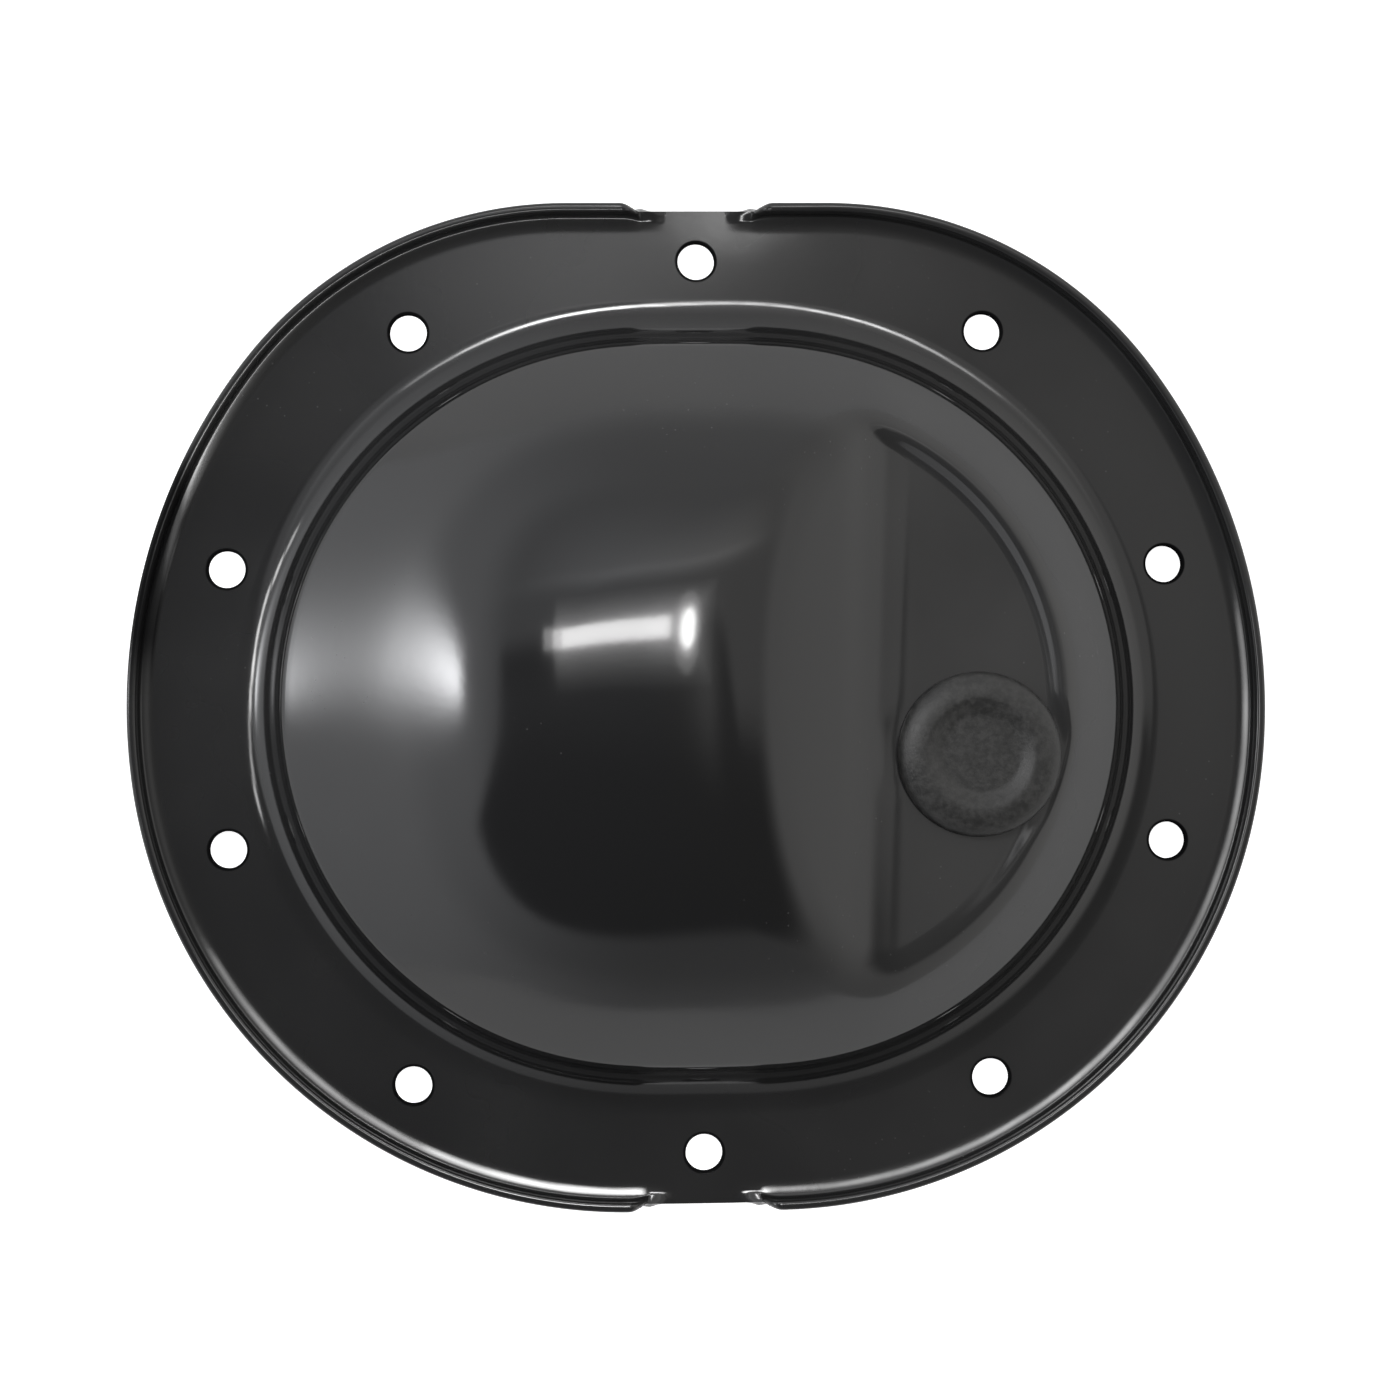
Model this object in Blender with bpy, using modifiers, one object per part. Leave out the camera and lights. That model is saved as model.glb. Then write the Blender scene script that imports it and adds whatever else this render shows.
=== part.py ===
"""Stamped steel cover for an axle's differential, with its push-in rubber filler plug.

Metres, +Z out of the dome. The origin is the centre of the gasket face, which lies at Z = 0.
+X points to the low pad that carries the plug.
"""

import math

import bmesh
import bpy
from mathutils import Matrix, Vector
from mathutils.geometry import delaunay_2d_cdt

# Sheet
SHEET = 0.0025

# Flange outline, over the outer face of the lip
FLANGE_END = 0.0390
FLANGE_SIDE = 0.03665
TOP_CORNER_Y = 0.0252
LOW_CORNER_Y = 0.0022

# Turned-up lip and the two gaps in it
LIP_DISH = 0.0037
LIP_DISH_SLOPE = 0.25
LIP_BEND = 0.00105
LIP_HEIGHT = 0.0058
GAP_HALF = 0.0145
GAP_INSET = 0.0013
LIP_RUNOUT = 0.0050
GAP_FLARE = 0.0070
GAP_KICK = 0.24

# Bolt holes: three in each quarter, the first on the Y axis, at shares of the flange's width
BOLT_HOLE_RADIUS = 0.0047
BOLT_TOP_SHARE = 0.614
BOLT_MID_SHARE = 0.569
BOLT_MID_TURN = math.radians(52.43)
BOLT_SIDE_SHARE = 0.521
BOLT_SIDE_TURN = math.radians(16.51)

# Root of the dome: two half circles joined by short straights
DOME_RADIUS = 0.0915
DOME_SHIFT = 0.0143
ROOT_FILLET = 0.0125
DOME_EDGE_Z = 0.0165
DOME_EDGE_ROUND = 0.0016
LEVEL_WIDTH = 0.0450

# Whole outline, from the dome and the flange round it
LENGTH = 2.0 * (DOME_RADIUS + DOME_SHIFT + FLANGE_END)
WIDTH = 2.0 * (DOME_RADIUS + FLANGE_SIDE)

# Crown of the dome: a wide arc that ends straight, a flatter left flank and a straight right flank
CROWN_Z = 0.0625
CROWN_ARC = 0.1100
CROWN_REACH = 0.0765
CROWN_BLEND = 0.0120
LEFT_Z = 0.0695
LEFT_X = -0.0400
LEFT_SLOPE = 0.80
LEFT_EASE = 0.0300
LEFT_BLEND = 0.0220
FLANK_Z = 0.0635
FLANK_X = 0.0085
FLANK_SLOPE = 0.90
FLANK_EASE = 0.0160
FLANK_BLEND = 0.0080

# Low pad on the right, a little below the crest round it
PAD_Z = 0.0310
PAD_X = 0.0680
PAD_Y = -0.0130
PAD_TILT_X = 0.030
PAD_TILT_Y = 0.033
PAD_BLEND = 0.0060
PAD_RIM = 0.0155
PAD_RIM_BLEND = 0.0050
PAD_RIM_RUN = 0.0300
PAD_CHORD_X = 0.0240
PAD_CHORD_TILT = 0.09
PAD_CORNER = 0.0120
PAD_STEP = 0.0050
CREST_Z = 0.0335

# Filler hole and plug
PLUG_X = 0.0675
PLUG_Y = -0.0132
FILLER_RADIUS = 0.0158
FIT_GAP = 0.0003
SEAT_MARGIN = 0.0010
SEAT_FADE = 0.0040
HEAD_RADIUS = 0.0204
HEAD_HEIGHT = 0.0050
HEAD_EDGE = 0.0013
HEAD_CREST = 0.0140
DISH_RADIUS = 0.0092
DISH_DEPTH = 0.0015
SNAP_RADIUS = 0.0170
SNAP_DEPTH = 0.0055
SNAP_TIP = 0.0138
PLUG_HOLLOW = 0.0105
PLUG_ROOF = 0.0030

# Fineness of the surfaces
STATIONS = 72
DISH_STEPS = 2
BEND_STEPS = 3
FILLET_STEPS = 7
GRID_PITCH = 0.0060
HOLE_SIDES = 24
PLUG_SIDES = 40


def ease(t):
    t = min(max(t, 0.0), 1.0)
    return t * t * (3.0 - 2.0 * t)


def smooth_max(a, b, width):
    share = min(max(0.5 + 0.5 * (a - b) / width, 0.0), 1.0)
    return b * (1.0 - share) + a * share + width * share * (1.0 - share)


def smooth_min(a, b, width):
    return -smooth_max(-a, -b, width)


def soft_ramp(t, width):
    return 0.5 * (t + math.hypot(t, width))


def spine_offset(x, y):
    """Vector from the dome's spine, the line between its two centres, eased at its ends."""
    return Vector((x - x / math.hypot(1.0, x / DOME_SHIFT), y))


def free_height(x, y):
    """Height of the dome before its edge is made level."""
    reach = spine_offset(x, y).length
    inside = DOME_RADIUS - reach
    bent = smooth_min(reach, CROWN_REACH, CROWN_BLEND)
    steepest = CROWN_REACH / math.sqrt(CROWN_ARC**2 - CROWN_REACH**2)
    crown = CROWN_Z - CROWN_ARC + math.sqrt(CROWN_ARC**2 - bent**2) - steepest * (reach - bent)
    left = LEFT_Z - LEFT_SLOPE * soft_ramp(LEFT_X - x, LEFT_EASE)
    outer = smooth_min(crown, left, LEFT_BLEND)
    flank = FLANK_Z - FLANK_SLOPE * soft_ramp(x - FLANK_X, FLANK_EASE)
    pad = pad_height(x, y)
    foot = FLANK_X + (FLANK_Z - PAD_Z) / FLANK_SLOPE
    to_rim = ease((foot - x) / PAD_RIM_RUN)
    blend = PAD_RIM_BLEND + (FLANK_BLEND - PAD_RIM_BLEND) * to_rim
    crest_form = smooth_min(outer, smooth_max(flank, CREST_Z, PAD_BLEND), blend)
    pad_form = smooth_min(outer, smooth_max(flank, pad, PAD_BLEND), blend)
    from_chord = x - PAD_CHORD_X - PAD_CHORD_TILT * y
    sunk = ease(smooth_min(inside - PAD_RIM, from_chord, PAD_CORNER) / PAD_STEP)
    return crest_form * (1.0 - sunk) + pad_form * sunk


def pad_height(x, y):
    return PAD_Z - PAD_TILT_X * (x - PAD_X) - PAD_TILT_Y * (y - PAD_Y)


def dome_height(x, y):
    """Height of the dome's outer skin: level along its edge, and flat where the plug sits."""
    height = free_height(x, y)
    offset = spine_offset(x, y)
    inside = DOME_RADIUS - offset.length
    share = min(max(1.0 - inside / LEVEL_WIDTH, 0.0), 1.0) ** 2
    if share > 0.0:
        edge = offset.normalized() * DOME_RADIUS
        spine_x = x - offset.x
        height += (DOME_EDGE_Z - free_height(spine_x + edge.x, edge.y)) * share
    from_plug = math.hypot(x - PLUG_X, y - PLUG_Y) - HEAD_RADIUS
    seat = ease(1.0 + (SEAT_MARGIN - from_plug) / SEAT_FADE)
    return height - max(height - pad_height(x, y), 0.0) * seat


def outline_point(angle, inset):
    """Point of the flange outline moved in by inset, in the direction angle from the centre."""
    side = LENGTH / 2
    core_y = TOP_CORNER_Y if math.sin(angle) > 0.0 else LOW_CORNER_Y
    corner = WIDTH / 2 - core_y
    core_x = math.sqrt((side - corner) ** 2 - core_y**2)
    cosine = abs(math.cos(angle))
    sine = abs(math.sin(angle))
    if sine * core_x <= cosine * core_y:
        reach = side - inset
    elif sine * core_x >= cosine * (WIDTH / 2 - inset):
        reach = (WIDTH / 2 - inset) / sine
    else:
        along = core_x * cosine + core_y * sine
        gap = core_x**2 + core_y**2 - (corner - inset) ** 2
        reach = along + math.sqrt(along**2 - gap)
    return Vector((reach * math.cos(angle), reach * math.sin(angle)))


def root_point(angle, inside):
    """Point inside the dome's edge line by this much, in the direction angle from the centre."""
    way = Vector((math.cos(angle), math.sin(angle)))
    reach = DOME_RADIUS - inside
    for _ in range(12):
        at = way * reach
        reach += DOME_RADIUS - inside - spine_offset(at.x, at.y).length
    return way * reach


def lip_presence(x, y):
    """1 where the lip stands at its full height, 0 in the middle of a gap."""
    if abs(y) < WIDTH / 4:
        return 1.0
    past_end = (abs(x) - GAP_HALF) / LIP_RUNOUT
    if past_end >= 1.0:
        return 1.0
    if past_end >= 0.0:
        return GAP_KICK + (1.0 - GAP_KICK) * (1.0 - (1.0 - past_end) ** 2)
    return GAP_KICK * ease((abs(x) - GAP_HALF + GAP_FLARE) / GAP_FLARE)


def sheet_share(x, y, run):
    """Share of the sheet's thickness left where the lip's end is drawn steeply upwards."""
    near = LIP_RUNOUT / 6
    rise = lip_presence(abs(x) + near, y) - lip_presence(abs(x) - near, y)
    slope = LIP_HEIGHT * rise / (2.0 * near)
    return 1.0 - run * (1.0 - 1.0 / math.hypot(1.0, slope))


def lip_sections():
    """Each ring of the lip: inset and height where it stands, inset where it lies flat, and run."""
    turned = math.atan(LIP_DISH_SLOPE)
    foot = SHEET + LIP_BEND * (1.0 - math.sin(turned))
    standing = []
    for i in range(DISH_STEPS):
        out = LIP_DISH * i / DISH_STEPS
        rise = LIP_DISH_SLOPE / 2 * out**2 / LIP_DISH
        standing.append((foot + LIP_DISH - out, SHEET + rise, out))
    rise = LIP_DISH_SLOPE / 2 * LIP_DISH
    for i in range(BEND_STEPS + 1):
        turn = turned + (math.pi / 2 - turned) * i / BEND_STEPS
        inset = SHEET + LIP_BEND * (1.0 - math.sin(turn))
        height = SHEET + rise + LIP_BEND * (math.cos(turned) - math.cos(turn))
        standing.append((inset, height, LIP_DISH + LIP_BEND * (turn - turned)))
    wall = SHEET + LIP_HEIGHT - standing[-1][1]
    top_run = standing[-1][2] + wall
    standing.append((SHEET, SHEET + LIP_HEIGHT, top_run))
    developed = standing[-1][2]
    start = standing[0][0]
    rings = []
    for inset, height, run in standing:
        share = run / developed
        rings.append((inset, height, start + (GAP_INSET - start) * share, share))
    return rings


def regular_angles(count):
    return [2.0 * math.pi * i / count for i in range(count)]


def lip_angles():
    """Even stations, with closer ones at the four ends of the lip."""
    spacing = 2.0 * math.pi / STATIONS
    close = []
    for share in (-1.0, -0.62, -0.3, -0.1):
        close.append(GAP_HALF + share * GAP_FLARE)
    for share in (0.0, 0.16, 0.36, 0.62, 1.0, 1.25):
        close.append(GAP_HALF + share * LIP_RUNOUT)
    quarter = [math.atan2(WIDTH / 2, x) for x in close]
    low = min(quarter)
    high = max(quarter)
    for angle in regular_angles(STATIONS):
        if -1e-6 < angle < math.pi / 2 + 1e-6 and not low - spacing / 3 < angle < high + spacing / 3:
            quarter.append(angle)
    full = set()
    for angle in quarter:
        for copy in (angle, math.pi - angle, math.pi + angle, 2.0 * math.pi - angle):
            full.add(round(copy % (2.0 * math.pi), 9))
    return sorted(full)


def ring_of(mesh, points):
    return [mesh.verts.new(point) for point in points]


def join_rings(mesh, outer, inner):
    """Quads between two rings of as many points."""
    for i in range(len(outer)):
        j = (i + 1) % len(outer)
        mesh.faces.new((outer[i], outer[j], inner[j], inner[i]))


def zip_rings(mesh, outer, inner):
    """Triangles between two rings of different counts, each sorted by its direction."""
    turns = 2.0 * math.pi

    def angles(ring):
        found = [math.atan2(vert.co.y, vert.co.x) % turns for vert in ring]
        return found + [found[0] + turns]

    outer_angles = angles(outer)
    inner_angles = angles(inner)
    i = 0
    j = 0
    while i < len(outer) or j < len(inner):
        step_outer = j == len(inner) or (
            i < len(outer) and outer_angles[i + 1] <= inner_angles[j + 1]
        )
        here = outer[i % len(outer)]
        there = inner[j % len(inner)]
        if step_outer:
            i += 1
            mesh.faces.new((here, outer[i % len(outer)], there))
        else:
            j += 1
            mesh.faces.new((here, inner[j % len(inner)], there))


def lifted(flat, height):
    return Vector((flat.x, flat.y, height))


def lip_point(angle, ring):
    inset, height, flat_inset, _ = ring
    edge = outline_point(angle, 0.0)
    present = lip_presence(edge.x, edge.y)
    return lifted(
        outline_point(angle, flat_inset + (inset - flat_inset) * present),
        SHEET + (height - SHEET) * present,
    )


def fillet_points(angles):
    """Rings of the hollow fillet between the flange and the dome's steep edge."""
    last = math.radians(85.0)
    lean = DOME_EDGE_ROUND * 0.1
    rise = DOME_EDGE_Z - DOME_EDGE_ROUND - SHEET
    rings = []
    for i in range(FILLET_STEPS + 1):
        turn = last * i / FILLET_STEPS
        out = ROOT_FILLET + (lean - ROOT_FILLET) * math.sin(turn) / math.sin(last)
        height = SHEET + rise * (1.0 - math.cos(turn)) / (1.0 - math.cos(last))
        rings.append([lifted(root_point(a, -out), height) for a in angles])
    return rings


def on_dome(flat):
    return lifted(flat, dome_height(flat.x, flat.y))


def edge_points(angles, below):
    """Rings of the rounded edge, from the top of the fillet to the dome."""
    corner = [lifted(root_point(a, 0.0), DOME_EDGE_Z) for a in angles]
    above = [on_dome(root_point(a, DOME_EDGE_ROUND)) for a in angles]
    rings = []
    for share in (1.0 / 3.0, 2.0 / 3.0, 1.0):
        ring = []
        for start, middle, end in zip(below, corner, above):
            first = start.lerp(middle, share)
            ring.append(first.lerp(middle.lerp(end, share), share))
        rings.append(ring)
    return rings


def dome_ring_insets():
    """Distances inside the edge line of the rings that follow the edge, closer at the pad's rim."""
    insets = []
    for share in (0.24, 0.5, 0.76):
        insets.append(DOME_EDGE_ROUND + share * (PAD_RIM - DOME_EDGE_ROUND))
    for share in (-0.4, 0.1, 0.55, 1.05):
        insets.append(PAD_RIM + share * PAD_STEP)
    return insets


def dome_grid(innermost):
    """Points inside the last ring, with closer columns where the flank meets the pad."""
    foot = FLANK_X + (FLANK_Z - PAD_Z) / FLANK_SLOPE
    points = []
    x = foot
    columns = [foot]
    while x < DOME_SHIFT + DOME_RADIUS:
        x += GRID_PITCH * (0.6 if x < foot + 1.5 * GRID_PITCH else 1.3)
        columns.append(x)
    x = foot
    while x > -DOME_SHIFT - DOME_RADIUS:
        x -= GRID_PITCH * (0.6 if x > foot - 1.5 * GRID_PITCH else 1.0)
        columns.append(x)
    rows = math.floor(DOME_RADIUS / GRID_PITCH)
    for i, x in enumerate(sorted(columns)):
        for j in range(-rows, rows + 1):
            y = (j + 0.5 * (i % 2)) * GRID_PITCH
            inside = DOME_RADIUS - spine_offset(x, y).length
            if inside > innermost + 0.5 * GRID_PITCH:
                points.append(Vector((x, y)))
    return points


def fill_dome(mesh, ring, innermost):
    """Triangles over the dome inside its last ring."""
    border = [Vector((vert.co.x, vert.co.y)) for vert in ring]
    flat = border + dome_grid(innermost)
    edges = [(i, (i + 1) % len(border)) for i in range(len(border))]
    placed, _, faces, _, _, _ = delaunay_2d_cdt(flat, edges, [], 1, 1e-7)
    verts = list(ring)
    for point in placed[len(border):]:
        verts.append(mesh.verts.new(on_dome(point)))
    for face in faces:
        a, b, c = (placed[i] for i in face)
        turn = (b - a).cross(c - a)
        order = face if turn > 0.0 else face[::-1]
        mesh.faces.new([verts[i] for i in order])


def build_skin():
    """The cover's outer skin as one open surface, facing up and into the lip."""
    mesh = bmesh.new()
    weights = mesh.verts.layers.deform.verify()
    around = regular_angles(STATIONS)
    edge_around = lip_angles()
    sections = lip_sections()
    rings = [
        ring_of(mesh, [lip_point(a, section) for a in edge_around]) for section in sections
    ]
    for section, ring in zip(sections, rings):
        for vert in ring:
            vert[weights][0] = sheet_share(vert.co.x, vert.co.y, section[3])
    for inner, outer in zip(rings, rings[1:]):
        join_rings(mesh, outer, inner)
    bend_start = sections[0][0]
    margin = SHEET / 2
    guard = ring_of(
        mesh, [lifted(outline_point(a, bend_start + margin), SHEET) for a in edge_around]
    )
    join_rings(mesh, rings[0], guard)
    root = ring_of(
        mesh, [lifted(root_point(a, -ROOT_FILLET - margin), SHEET) for a in around]
    )
    zip_rings(mesh, guard, root)
    last = root
    fillet = fillet_points(around)
    for points in fillet + edge_points(around, fillet[-1]):
        ring = ring_of(mesh, points)
        join_rings(mesh, last, ring)
        last = ring
    insets = dome_ring_insets()
    for inset in insets:
        ring = ring_of(mesh, [on_dome(root_point(a, inset)) for a in around])
        join_rings(mesh, last, ring)
        last = ring
    fill_dome(mesh, last, insets[-1])
    for vert in mesh.verts:
        if 0 not in vert[weights]:
            vert[weights][0] = 1.0
    return mesh


def bolt_positions():
    places = []
    for turn, share in (
        (math.pi / 2, BOLT_TOP_SHARE),
        (BOLT_MID_TURN, BOLT_MID_SHARE),
        (BOLT_SIDE_TURN, BOLT_SIDE_SHARE),
    ):
        width = FLANGE_SIDE * math.sin(turn) ** 2 + FLANGE_END * math.cos(turn) ** 2
        place = root_point(turn, -share * width)
        for sign_x in (1, -1) if turn < math.pi / 2 else (1,):
            for sign_y in (1, -1):
                places.append((sign_x * place.x, sign_y * place.y))
    return places


def plug_frame():
    """Place of the plug: on the pad, square to it."""
    normal = Vector((PAD_TILT_X, PAD_TILT_Y, 1.0)).normalized()
    turn = Vector((0.0, 0.0, 1.0)).rotation_difference(normal).to_matrix().to_4x4()
    return Matrix.Translation((PLUG_X, PLUG_Y, pad_height(PLUG_X, PLUG_Y))) @ turn


def plug_profile():
    """Half section of the plug, from the top centre round its outside to the hollow beneath."""
    neck = FILLER_RADIUS - FIT_GAP
    snap_top = -SHEET - FIT_GAP
    snap_end = snap_top - SNAP_DEPTH
    floor = HEAD_HEIGHT - DISH_DEPTH
    points = [(0.0, floor), (DISH_RADIUS * 0.6, floor), (DISH_RADIUS, floor + DISH_DEPTH * 0.06)]
    for share in (0.3, 0.55, 0.8):
        radius = DISH_RADIUS + (HEAD_CREST - DISH_RADIUS) * share
        points.append((radius, floor + DISH_DEPTH * (0.06 + 0.94 * ease(share))))
    for i in range(6):
        turn = math.pi / 2 * i / 5
        radius = HEAD_CREST + (HEAD_RADIUS - HEAD_CREST) * math.sin(turn)
        points.append((radius, HEAD_EDGE + (HEAD_HEIGHT - HEAD_EDGE) * math.cos(turn)))
    points.append((HEAD_RADIUS - 0.0003, FIT_GAP))
    points.append((neck, FIT_GAP))
    points.append((neck, snap_top))
    points.append((SNAP_RADIUS, snap_top - 0.0003))
    points.append((SNAP_RADIUS, snap_top - 0.0012))
    points.append((SNAP_TIP, snap_end))
    points.append((PLUG_HOLLOW, snap_end))
    points.append((PLUG_HOLLOW - 0.0006, -PLUG_ROOF + 0.0010))
    points.append((PLUG_HOLLOW - 0.0020, -PLUG_ROOF + 0.0020))
    points.append((0.0, -PLUG_ROOF + 0.0020))
    return points


def new_object(name, mesh, collection):
    data = bpy.data.meshes.new(name)
    mesh.to_mesh(data)
    mesh.free()
    made = bpy.data.objects.new(name, data)
    collection.objects.link(made)
    return made


def make_plug(collection):
    mesh = bmesh.new()
    verts = [mesh.verts.new((radius, 0.0, height)) for radius, height in plug_profile()]
    for first, second in zip(verts, verts[1:]):
        mesh.edges.new((first, second))
    plug = new_object("fill_plug", mesh, collection)
    screw = plug.modifiers.new("turn", "SCREW")
    screw.axis = "Z"
    screw.steps = PLUG_SIDES
    screw.render_steps = PLUG_SIDES
    screw.use_merge_vertices = True
    screw.merge_threshold = 0.00001
    screw.use_smooth_shade = True
    plug.matrix_world = plug_frame()
    return plug


def make_cutters(collection):
    """The bolt holes' punches in one object and the filler hole's in another."""
    mesh = bmesh.new()
    half_side = Matrix.Rotation(math.pi / HOLE_SIDES, 4, "Z")
    for x, y in bolt_positions():
        bmesh.ops.create_cone(
            mesh,
            cap_ends=True,
            segments=HOLE_SIDES,
            radius1=BOLT_HOLE_RADIUS,
            radius2=BOLT_HOLE_RADIUS,
            depth=6.0 * SHEET,
            matrix=Matrix.Translation((x, y, SHEET / 2)) @ half_side,
        )
    bolts = new_object("bolt_hole_punches", mesh, collection)
    mesh = bmesh.new()
    bmesh.ops.create_cone(
        mesh,
        cap_ends=True,
        segments=2 * HOLE_SIDES,
        radius1=FILLER_RADIUS,
        radius2=FILLER_RADIUS,
        depth=6.0 * SHEET,
    )
    filler = new_object("filler_hole_punch", mesh, collection)
    filler.matrix_world = plug_frame()
    for cutter in (bolts, filler):
        cutter.hide_render = True
        cutter.display_type = "WIRE"
    return bolts, filler


def make_cover(collection, cutters):
    cover = new_object("cover_shell", build_skin(), collection)
    cover.data.shade_smooth()
    cover.data.set_sharp_from_angle(angle=math.radians(40.0))
    cover.vertex_groups.new(name="sheet_share")
    solid = cover.modifiers.new("sheet", "SOLIDIFY")
    solid.vertex_group = "sheet_share"
    solid.thickness = SHEET
    solid.offset = -1.0
    solid.use_even_offset = True
    for cutter in cutters:
        cut = cover.modifiers.new(cutter.name, "BOOLEAN")
        cut.operation = "DIFFERENCE"
        cut.solver = "EXACT"
        cut.object = cutter
    return cover


def finish(made, name, colour, roughness, coat):
    material = bpy.data.materials.new(name)
    material.use_nodes = True
    shader = material.node_tree.nodes["Principled BSDF"]
    shader.inputs["Base Color"].default_value = (*colour, 1.0)
    shader.inputs["Metallic"].default_value = 0.0
    shader.inputs["Roughness"].default_value = roughness
    shader.inputs["Coat Weight"].default_value = coat
    made.data.materials.append(material)


def main():
    for old in list(bpy.data.objects):
        bpy.data.objects.remove(old, do_unlink=True)
    parts = bpy.data.collections.new("differential_cover")
    helpers = bpy.data.collections.new("punches")
    for collection in (parts, helpers):
        bpy.context.scene.collection.children.link(collection)
    cover = make_cover(parts, make_cutters(helpers))
    finish(cover, "black_paint", (0.020, 0.020, 0.021), 0.22, 0.5)
    plug = make_plug(parts)
    finish(plug, "rubber", (0.030, 0.030, 0.030), 0.75, 0.0)


main()
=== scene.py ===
"""Looks of the differential cover: the fine stamped skin, the rubber plug, paint, studio and camera."""

import math
from types import SimpleNamespace

import bmesh
import bpy
from mathutils import Matrix, Vector


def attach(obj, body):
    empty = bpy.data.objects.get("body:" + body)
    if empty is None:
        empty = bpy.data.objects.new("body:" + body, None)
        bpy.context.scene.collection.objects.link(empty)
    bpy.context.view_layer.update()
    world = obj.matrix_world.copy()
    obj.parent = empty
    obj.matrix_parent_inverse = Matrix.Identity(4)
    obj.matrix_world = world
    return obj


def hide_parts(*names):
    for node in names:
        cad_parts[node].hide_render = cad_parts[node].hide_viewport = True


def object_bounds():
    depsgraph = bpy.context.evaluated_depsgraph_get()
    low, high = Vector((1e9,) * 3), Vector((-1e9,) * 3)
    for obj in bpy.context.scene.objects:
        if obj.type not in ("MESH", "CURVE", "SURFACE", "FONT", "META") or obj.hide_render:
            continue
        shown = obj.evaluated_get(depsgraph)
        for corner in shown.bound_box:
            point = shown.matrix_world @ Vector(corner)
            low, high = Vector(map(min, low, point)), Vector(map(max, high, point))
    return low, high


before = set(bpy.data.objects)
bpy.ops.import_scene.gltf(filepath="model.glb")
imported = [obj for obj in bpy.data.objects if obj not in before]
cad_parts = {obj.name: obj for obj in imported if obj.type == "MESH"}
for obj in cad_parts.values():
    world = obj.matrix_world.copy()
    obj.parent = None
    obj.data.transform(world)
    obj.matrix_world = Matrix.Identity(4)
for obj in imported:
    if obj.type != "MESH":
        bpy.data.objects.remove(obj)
cad_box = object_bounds()

# Sizes of the real cover, in metres, as the solids have them
SHEET = 0.0025
FLANGE_END = 0.0390
FLANGE_SIDE = 0.03665
TOP_CORNER_Y = 0.0252
LOW_CORNER_Y = 0.0022
LIP_DISH = 0.0037
LIP_DISH_SLOPE = 0.25
LIP_BEND = 0.00105
LIP_HEIGHT = 0.0058
GAP_HALF = 0.0145
GAP_INSET = 0.0013
LIP_RUNOUT = 0.0050
GAP_FLARE = 0.0070
GAP_KICK = 0.24
BOLT_HOLE_RADIUS = 0.0047
BOLT_TOP_SHARE = 0.614
BOLT_MID_SHARE = 0.569
BOLT_MID_TURN = math.radians(52.43)
BOLT_SIDE_SHARE = 0.521
BOLT_SIDE_TURN = math.radians(16.51)
DOME_RADIUS = 0.0915
DOME_SHIFT = 0.0143
ROOT_FILLET = 0.0125
DOME_EDGE_Z = 0.0165
DOME_EDGE_ROUND = 0.0016
LEVEL_WIDTH = 0.0450
LENGTH = 2.0 * (DOME_RADIUS + DOME_SHIFT + FLANGE_END)
WIDTH = 2.0 * (DOME_RADIUS + FLANGE_SIDE)
CROWN_Z = 0.06245
CROWN_ARC = 0.1100
CROWN_REACH = 0.0765
CROWN_BLEND = 0.0120
LEFT_Z = 0.0695
LEFT_X = -0.0400
LEFT_SLOPE = 0.80
LEFT_EASE = 0.0300
LEFT_BLEND = 0.0220
FLANK_Z = 0.0635
FLANK_X = 0.0085
FLANK_SLOPE = 0.90
FLANK_EASE = 0.0160
FLANK_BLEND = 0.0080
PAD_Z = 0.0310
PAD_X = 0.0680
PAD_Y = -0.0130
PAD_TILT_X = 0.030
PAD_TILT_Y = 0.033
PAD_BLEND = 0.0060
PAD_RIM = 0.0155
PAD_RIM_BLEND = 0.0050
PAD_RIM_RUN = 0.0300
PAD_CHORD_X = 0.0240
PAD_CHORD_TILT = 0.09
PAD_CORNER = 0.0120
PAD_STEP = 0.0050
CREST_Z = 0.0335
PLUG_X = 0.0675
PLUG_Y = -0.0132
FILLER_RADIUS = 0.0158
FIT_GAP = 0.0003
SEAT_MARGIN = 0.0010
SEAT_FADE = 0.0040
HEAD_RADIUS = 0.0204
HEAD_HEIGHT = 0.0050
HEAD_EDGE = 0.0013
HEAD_CREST = 0.0140
DISH_RADIUS = 0.0092
DISH_DEPTH = 0.0015
SNAP_RADIUS = 0.0170
SNAP_DEPTH = 0.0055
SNAP_TIP = 0.0138
PLUG_HOLLOW = 0.0105
PLUG_ROOF = 0.0030

# Rounded edges of the pressed sheet
LIP_ROUND = 0.00100
HOLE_ROUND = 0.00060
PLAIN_ROUND = 0.00035

# Fineness of the visible surfaces
SIDE_CELLS = 94
LIP_STATIONS = 420
DISH_STEPS = 8
BEND_STEPS = 8
FILLET_STEPS = 20
FILLET_END = math.radians(85.0)
HOLE_SIDES = 56
PLUG_SIDES = 128

# Pale floor: half its side, how far below the part it lies, and the glow that makes it white
FLOOR_HALF = 3.0
FLOOR_DROP = 0.0002
FLOOR_GLOW = 0.9
FLOOR_COLOUR = (0.8, 0.8, 0.8, 1.0)

# Colours of the paint, of its pale dust and painted sheen, and of the mottled rubber
PAINT_COLOUR = (0.0055, 0.0055, 0.0058, 1.0)
DUST_AND_SHEEN_COLOUR = (1.0, 0.995, 0.98, 1.0)
RUBBER_DARK = (0.012, 0.012, 0.0115, 1.0)
RUBBER_PALE = (0.030, 0.0295, 0.0285, 1.0)

# Camera, from the places of the ten holes in the photograph
CAMERA_PLACE = Vector((-0.0349, -0.0154, 0.750))
CAMERA_AIM = Vector((0.0, 0.0014, 0.0025))
CAMERA_ROLL = -0.0093
VIEW_WIDTH = 0.3580

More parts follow.
